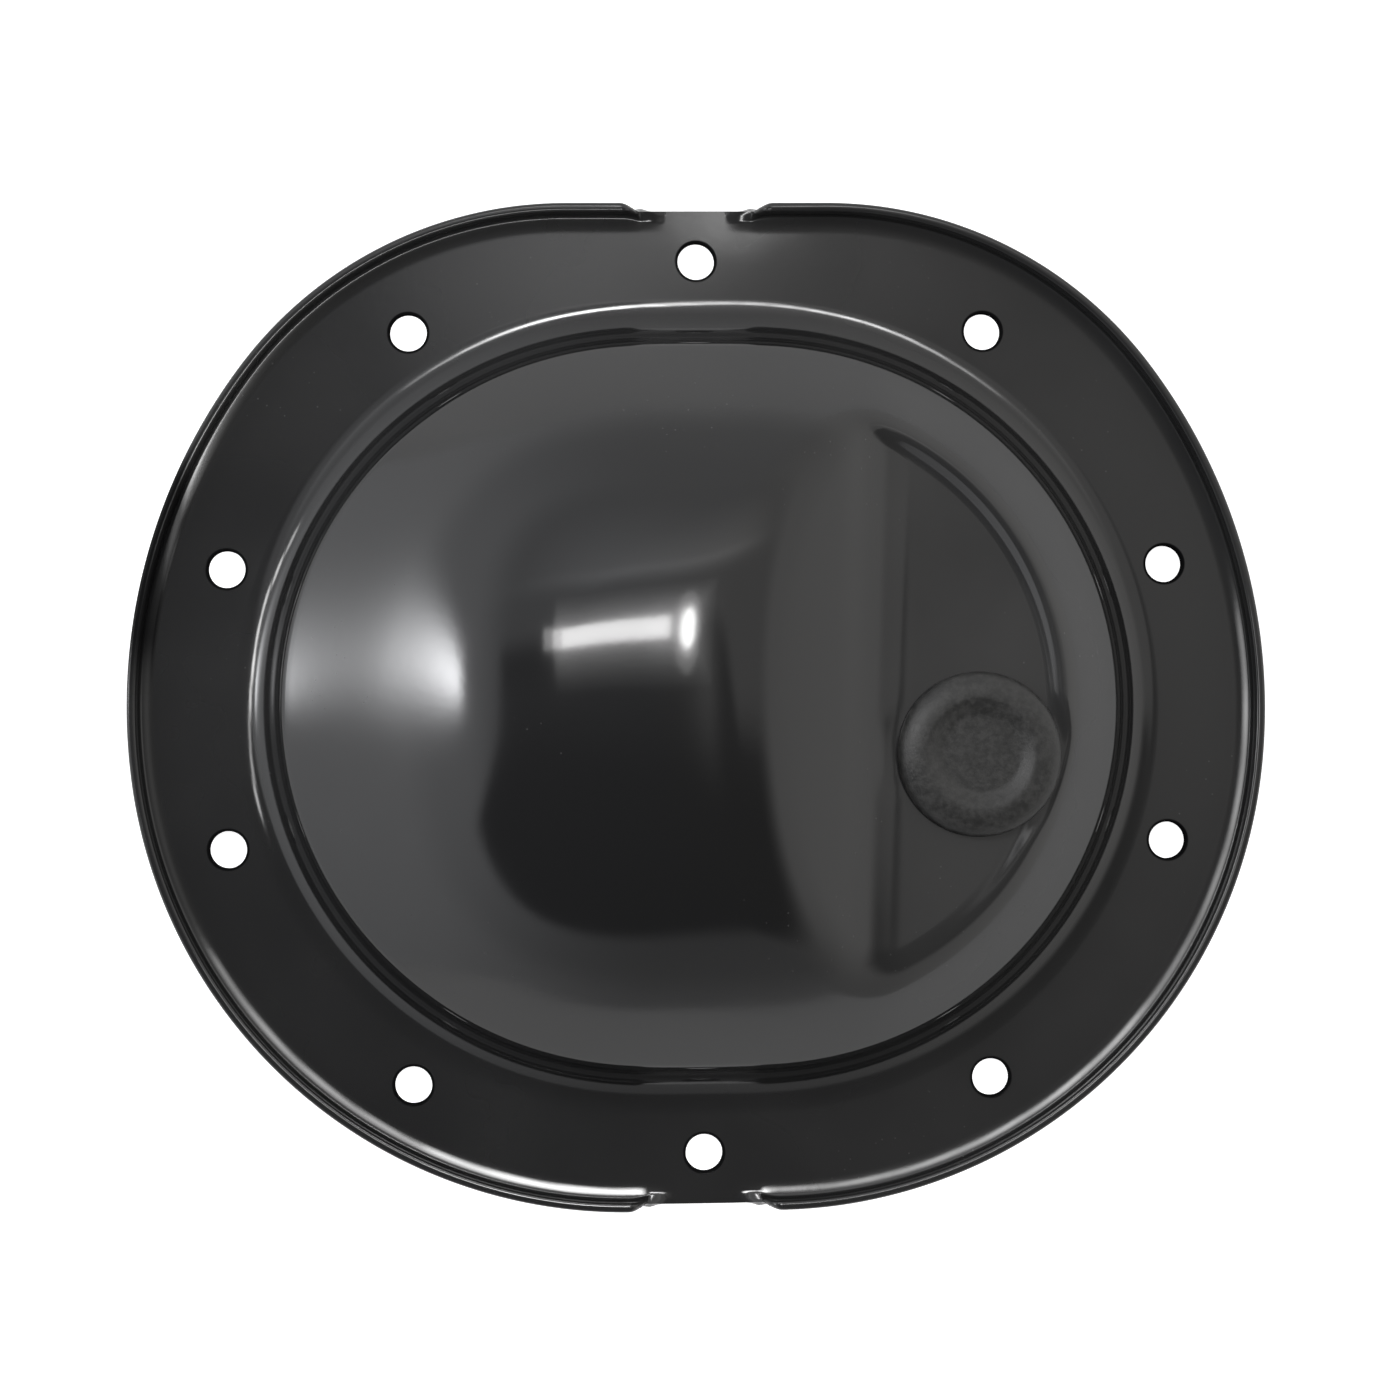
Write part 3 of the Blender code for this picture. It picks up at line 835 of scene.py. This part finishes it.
def paint_material():
    material, nodes, shader = new_material("black_paint")
    place = nodes.add("ShaderNodeTexCoord").outputs["Object"]
    cloud = nodes.add("ShaderNodeTexNoise")
    nodes.put(cloud.inputs["Vector"], place)
    cloud.inputs["Scale"].default_value = 22.0
    cloud.inputs["Detail"].default_value = 3.0
    peel = nodes.add("ShaderNodeTexNoise")
    nodes.put(peel.inputs["Vector"], place)
    peel.inputs["Scale"].default_value = 420.0
    peel.inputs["Detail"].default_value = 2.0
    dust = nodes.add("ShaderNodeTexVoronoi")
    nodes.put(dust.inputs["Vector"], place)
    dust.inputs["Scale"].default_value = 330.0
    speck = nodes.ramp(dust.outputs["Distance"], 0.04, 0.10, 1.0, 0.0)
    patch = nodes.ramp(cloud.outputs["Fac"], 0.52, 0.70)
    specks = nodes.math("MULTIPLY", speck, patch)
    split = nodes.add("ShaderNodeSeparateXYZ")
    nodes.put(split.inputs[0], place)
    x, y, z = split.outputs
    painted_shade = painted_shade_share(nodes, x, y, z)
    # pale dust specks, plus a thin layer of dust with painted sheen; none where the shade is painted
    dust_and_sheen = nodes.math("MULTIPLY_ADD", specks, 0.04, dust_and_painted_sheen(nodes, x, z, cloud.outputs["Fac"]))
    dust_and_sheen = nodes.math("MULTIPLY", dust_and_sheen, nodes.math("SUBTRACT", 1.0, painted_shade))
    nodes.put(shader.inputs["Base Color"], nodes.colour(dust_and_sheen, PAINT_COLOUR, DUST_AND_SHEEN_COLOUR))
    nodes.put(shader.inputs["Roughness"], nodes.ramp(cloud.outputs["Fac"], 0.3, 0.7, 0.085, 0.13))
    # painted shade: no gloss on the bolt-hole rims and the lip's far left part, so they show dark
    nodes.put(shader.inputs["Specular IOR Level"], nodes.mix(painted_shade, 0.5, 0.0))
    bump = nodes.add("ShaderNodeBump")
    bump.inputs["Strength"].default_value = 0.02
    bump.inputs["Distance"].default_value = 0.0002
    nodes.put(bump.inputs["Height"], peel.outputs["Fac"])
    nodes.put(shader.inputs["Normal"], bump.outputs["Normal"])
    shader.inputs["IOR"].default_value = 1.5
    return material


def rubber_material():
    material, nodes, shader = new_material("black_rubber")
    place = nodes.add("ShaderNodeTexCoord").outputs["Object"]
    mottle = nodes.add("ShaderNodeTexNoise")
    nodes.put(mottle.inputs["Vector"], place)
    mottle.inputs["Scale"].default_value = 520.0
    mottle.inputs["Detail"].default_value = 6.0
    mottle.inputs["Roughness"].default_value = 0.65
    fine = nodes.add("ShaderNodeTexNoise")
    nodes.put(fine.inputs["Vector"], place)
    fine.inputs["Scale"].default_value = 1400.0
    share = nodes.ramp(mottle.outputs["Fac"], 0.35, 0.70)
    nodes.put(shader.inputs["Base Color"], nodes.colour(share, RUBBER_DARK, RUBBER_PALE))
    nodes.put(shader.inputs["Roughness"], nodes.mix(share, 0.42, 0.55))
    bump = nodes.add("ShaderNodeBump")
    bump.inputs["Strength"].default_value = 0.25
    bump.inputs["Distance"].default_value = 0.0002
    height = nodes.math("ADD", mottle.outputs["Fac"], fine.outputs["Fac"])
    nodes.put(bump.inputs["Height"], height)
    nodes.put(shader.inputs["Normal"], bump.outputs["Normal"])
    return material


def make_floor():
    mesh = bmesh.new()
    bmesh.ops.create_grid(mesh, x_segments=1, y_segments=1, size=FLOOR_HALF)
    floor = new_object("floor", mesh)
    floor.location.z = -FLOOR_DROP
    material = bpy.data.materials.new("white_floor")
    material.use_nodes = True
    tree = material.node_tree
    tree.nodes.clear()
    nodes = Nodes(tree)
    path = nodes.add("ShaderNodeLightPath")
    seen = nodes.math("MULTIPLY_ADD", path.outputs["Is Glossy Ray"], 0.5, path.outputs["Is Camera Ray"])
    seen = nodes.math("ADD", seen, path.outputs["Is Transmission Ray"], clamp=True)
    glow = nodes.add("ShaderNodeEmission")
    nodes.put(glow.inputs["Strength"], nodes.math("MULTIPLY", seen, FLOOR_GLOW))
    plain = nodes.add("ShaderNodeBsdfDiffuse")
    plain.inputs["Color"].default_value = FLOOR_COLOUR
    both = nodes.add("ShaderNodeAddShader")
    nodes.put(both.inputs[0], glow.outputs[0])
    nodes.put(both.inputs[1], plain.outputs[0])
    out = nodes.add("ShaderNodeOutputMaterial")
    nodes.put(out.inputs["Surface"], both.outputs[0])
    floor.data.materials.append(material)


def sky_ways(nodes):
    """The direction of a ray, in the forms that the parts of the studio use."""
    split = nodes.add("ShaderNodeSeparateXYZ")
    nodes.put(split.inputs[0], nodes.add("ShaderNodeTexCoord").outputs["Generated"])
    x, y, z = split.outputs
    up = nodes.math("MAXIMUM", z, 0.02)
    flat = nodes.math("ADD", nodes.math("MULTIPLY", x, x), nodes.math("MULTIPLY", y, y))
    flat = nodes.math("MAXIMUM", nodes.math("SQRT", flat), 0.001)
    east = nodes.math("DIVIDE", x, flat)
    return SimpleNamespace(
        x=x,
        y=y,
        z=z,
        across=nodes.math("DIVIDE", x, up),
        along=nodes.math("DIVIDE", y, up),
        east=east,
        north=nodes.math("DIVIDE", y, flat),
        west=nodes.math("MAXIMUM", nodes.math("MULTIPLY", east, -1.0), 0.0),
        side=nodes.math("MULTIPLY", east, east),
    )


def pale_ring(nodes, way):
    """Pale ring round the horizon, brighter on the left and right, under an even ceiling."""
    ring = nodes.math("MULTIPLY_ADD", way.north, 0.2, RING_LEVEL)
    ring = nodes.math("MULTIPLY_ADD", way.side, 0.45, ring)
    ring = nodes.math("MULTIPLY_ADD", way.west, 0.3, ring)
    return nodes.mix(nodes.ramp(way.z, 0.52, 0.70), ring, CEILING_LEVEL)


def dark_area(nodes, way, level):
    """The camera and whoever holds it, on the near side, with a little haze across the middle."""
    border = nodes.math("MULTIPLY_ADD", way.east, 0.025, 0.075)
    border = nodes.math("MULTIPLY_ADD", border, way.side, 0.50)
    corner = nodes.math("MULTIPLY", way.west, nodes.ramp(way.north, -0.32, 0.0, 0.0, 0.10))
    border = nodes.math("ADD", border, corner)
    soft = nodes.math("MAXIMUM", nodes.math("MULTIPLY_ADD", way.east, 0.07, 0.07), 0.02)
    low = nodes.math("SUBTRACT", border, soft)
    high = nodes.math("ADD", border, soft)
    far_edge = nodes.ramp(way.across, 0.20, 0.60, 0.15, -0.06)
    near_side = nodes.ramp(way.along, far_edge, nodes.math("ADD", far_edge, 0.1), 1.0, 0.0)
    dark = nodes.math("MULTIPLY", nodes.ramp(way.z, low, high), near_side)
    haze = nodes.math("MULTIPLY_ADD", nodes.bell(way.along, 0.05, 0.12), HAZE_LEVEL, DARK_LEVEL)
    return nodes.mix(dark, level, haze)


def far_lights(nodes, way, level):
    """The patch that the far flange shows, a glow farther on, and the patch that the pad shows."""
    patch = nodes.math("MULTIPLY", nodes.bell(way.across, 0.0, 0.055), 1.5)
    patch = nodes.math("MULTIPLY_ADD", nodes.bell(way.across, 0.04, 0.08), 0.6, patch)
    patch = nodes.math("MULTIPLY", patch, nodes.bell(way.along, 0.19, 0.06))
    level = nodes.math("ADD", level, patch)
    glow = nodes.math("MAXIMUM", nodes.math("SUBTRACT", way.along, 0.51), 0.0)
    glow = nodes.math("EXPONENT", nodes.math("DIVIDE", glow, -0.27))
    glow = nodes.math("MULTIPLY", glow, nodes.ramp(way.along, 0.33, 0.44))
    glow = nodes.math("MULTIPLY_ADD", nodes.bell(way.along, 0.44, 0.03), 0.7, glow)
    glow = nodes.math("MULTIPLY", glow, nodes.bell(way.across, 0.0, 0.70))
    level = nodes.math("MULTIPLY_ADD", glow, FAR_GLOW_LEVEL, level)
    on_pad = nodes.bell(way.across, 0.21, 0.09)
    on_pad = nodes.math("MULTIPLY", on_pad, nodes.bell(way.along, 0.07, 0.14))
    return nodes.math("MULTIPLY_ADD", on_pad, PAD_PATCH_LEVEL, level)


def left_lamp(nodes, way):
    """Lamp on the left, brightest 29 degrees up; it fades and spreads towards the horizon."""
    depth = nodes.math("SUBTRACT", 0.47, way.z)
    turn = nodes.math("ARCTAN2", way.y, nodes.math("MULTIPLY", way.x, -1.0))
    turn = nodes.math("MULTIPLY", turn, 180.0 / math.pi)
    turn = nodes.math("SUBTRACT", turn, nodes.math("MULTIPLY_ADD", depth, 36.0, 4.5))
    far_width = nodes.math("MULTIPLY_ADD", depth, 43.0, 5.6)
    near_width = nodes.math("MULTIPLY_ADD", depth, 26.0, 3.2)
    over = nodes.math("DIVIDE", nodes.math("MAXIMUM", turn, 0.0), far_width)
    under = nodes.math("DIVIDE", nodes.math("MINIMUM", turn, 0.0), near_width)
    lamp = nodes.bell(nodes.math("ADD", over, under), 0.0, 1.0)
    fade = nodes.math("EXPONENT", nodes.math("DIVIDE", nodes.math("SUBTRACT", way.z, 0.48), 0.07))
    lamp = nodes.math("MULTIPLY", lamp, nodes.math("MULTIPLY", fade, LEFT_LAMP_LEVEL))
    lamp = nodes.math("MULTIPLY", lamp, nodes.ramp(way.z, 0.485, 0.515, 1.0, 0.0))
    return nodes.math("MULTIPLY", lamp, nodes.ramp(way.z, 0.0, 0.1))


def make_world():
    """The studio, painted by the direction that a ray goes in: along is far, across is right."""
    world = bpy.data.worlds.new("studio")
    bpy.context.scene.world = world
    world.use_nodes = True
    tree = world.node_tree
    tree.nodes.clear()
    nodes = Nodes(tree)
    way = sky_ways(nodes)
    level = pale_ring(nodes, way)
    level = dark_area(nodes, way, level)
    level = far_lights(nodes, way, level)
    level = nodes.math("ADD", level, left_lamp(nodes, way))

    path = nodes.add("ShaderNodeLightPath")
    level = nodes.mix(path.outputs["Is Camera Ray"], level, 1.0)
    tint = nodes.colour(nodes.ramp(way.east, -0.6, 0.8), COOL_SIDE, WARM_SIDE)
    tint = nodes.colour(path.outputs["Is Camera Ray"], tint, (1.0, 1.0, 1.0, 1.0))
    back = nodes.add("ShaderNodeBackground")
    nodes.put(back.inputs["Color"], tint)
    nodes.put(back.inputs["Strength"], level)
    out = nodes.add("ShaderNodeOutputWorld")
    nodes.put(out.inputs["Surface"], back.outputs[0])


def add_lamp(name, place, aim, size, radiance, cone=None, round_lamp=False):
    """An area lamp of the given radiance; cone is the half angle, in degrees, it is shaded to."""
    size_x, size_y = size
    data = bpy.data.lights.new(name, "AREA")
    data.shape = "ELLIPSE" if round_lamp else "RECTANGLE"
    data.size = size_x
    data.size_y = size_y
    area = size_x * size_y * (math.pi / 4 if round_lamp else 1.0)
    half = math.radians(cone or 90.0)
    shaded = half * half / 3.0 if cone else 1.0
    data.spread = 2.0 * half
    data.energy = radiance * math.pi * area * shaded
    data.normalize = True
    lamp = bpy.data.objects.new(name, data)
    down = (aim - place).normalized()
    facing = Matrix.Identity(4)
    if down.z > -0.9999:
        facing = down.to_track_quat("-Z", "Y").to_matrix().to_4x4()
    lamp.matrix_world = Matrix.Translation(place) @ facing
    lamp.visible_camera = False
    bpy.context.scene.collection.objects.link(lamp)


def make_bar_lamp():
    """The bar with its fading start, the layers of its glow, and the short leg."""
    start = BAR_X - BAR_LENGTH / 2 - 0.0050
    parts = [
        ("bar_end", start - 0.0100, (0.0100, 0.0135), 5.0),
        ("bar_start", start, (0.0100, BAR_WIDTH), 11.0),
        ("bar", BAR_X, (BAR_LENGTH, BAR_WIDTH), 17.0),
    ]
    for k, (reach, step) in enumerate(HALO_STEPS):
        size = (BAR_LENGTH + 0.016 + reach, 2.0 * reach)
        parts.append((f"halo_{k}", BAR_X - 0.0020 + reach / 2, size, step))
    parts.append(("leg", LEG_X, (0.0110, 0.0235), 24.0))
    parts.append(("leg_halo", LEG_X, (0.0150, 0.0320), 3.0))
    parts.append(("leg_glow", LEG_X, (0.0200, 0.0480), 2.0))
    for k, (name, x, size, radiance) in enumerate(parts):
        place = Vector((x, BAR_Y, BAR_HEIGHT + 0.001 * k))
        below = place - Vector((0, 0, 1))
        add_lamp(name, place, below, size, radiance, round_lamp=name.startswith("leg"))


def between(points, at):
    """The values beside the first number of each point, eased from one point to the next."""
    for low, high in zip(points, points[1:]):
        if at <= high[0]:
            share = ease((at - low[0]) / (high[0] - low[0]))
            return [a + (b - a) * share for a, b in zip(low[1:], high[1:])]
    return points[-1][1:]


def mirrored_way(angle, turn):
    """Where the camera's ray goes from a point of the root fillet."""
    near = 0.001
    spot = fillet_point(angle, turn)
    round_dome = fillet_point(angle + near, turn) - spot
    up_arc = fillet_point(angle, turn + near) - spot
    normal = round_dome.cross(up_arc).normalized()
    view = (CAMERA_PLACE - spot).normalized()
    return 2.0 * normal.dot(view) * normal - view


def make_root_lamps():
    """A lamp wherever the camera's ray goes from a station of the bright lines in the root fillet."""
    for name, points in (("far", FAR_LINE), ("left", LEFT_LINE)):
        start = points[0][0]
        end = points[-1][0]
        steps = round((end - start) / ROOT_LAMP_STEP)
        for k in range(steps + 1):
            degrees = start + (end - start) * k / steps
            turn, radiance = between(points, degrees)
            angle = math.radians(degrees)
            turn = math.radians(turn)
            spot = fillet_point(angle, turn)
            place = spot + ROOT_LAMP_REACH * mirrored_way(angle, turn)
            size = (ROOT_LAMP_SIZE, ROOT_LAMP_SIZE)
            add_lamp(f"root_{name}_{k}", place, spot, size, radiance, SHADED_CONE, round_lamp=True)


def make_lip_lamps():
    """Lamps along the near half of the lip, brighter at the bottom of the picture."""
    for degrees in LIP_LAMP_DEGREES:
        radiance = LIP_BRIGHT if LIP_BRIGHT_FROM < degrees < LIP_BRIGHT_TO else LIP_FAINT
        angle = math.radians(degrees)
        spot = outline_point(angle, LIP_AIM_INSET)
        inward = (outline_point(angle, 5.0 * LIP_AIM_INSET) - spot).normalized()
        place = (spot + LIP_LAMP_SHIFT * inward).to_3d() + Vector((0, 0, LIP_LAMP_HEIGHT))
        aim = spot.to_3d() + Vector((0, 0, LIP_AIM_HEIGHT))
        add_lamp(f"lip_{degrees}", place, aim, LIP_LAMP_SIZE, radiance, SHADED_CONE)


def make_camera():
    data = bpy.data.cameras.new("camera")
    camera = bpy.data.objects.new("camera", data)
    bpy.context.scene.collection.objects.link(camera)
    bpy.context.scene.camera = camera
    forward = (CAMERA_AIM - CAMERA_PLACE).normalized()
    right = forward.cross(Vector((0.0, 1.0, 0.0))).normalized()
    turn = Matrix((right, right.cross(forward), -forward)).transposed().to_4x4()
    roll = Matrix.Rotation(CAMERA_ROLL, 4, "Z")
    camera.matrix_world = Matrix.Translation(CAMERA_PLACE) @ turn @ roll
    data.sensor_width = 36.0
    data.lens = 36.0 * (CAMERA_PLACE - CAMERA_AIM).length / VIEW_WIDTH
    data.clip_start = 0.01


def main():
    cover = make_cover()
    keep_inside(cover, cad_box)
    cover.data.materials.clear()
    cover.data.materials.append(paint_material())
    plug = make_plug()
    plug.data.materials.clear()
    plug.data.materials.append(rubber_material())
    for piece, node in ((cover, "cover_shell"), (plug, "fill_plug")):
        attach(piece, "root")
        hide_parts(node)
    make_floor()
    make_world()
    make_bar_lamp()
    make_root_lamps()
    make_lip_lamps()
    make_camera()
    bpy.context.scene.view_settings.view_transform = "Standard"


main()
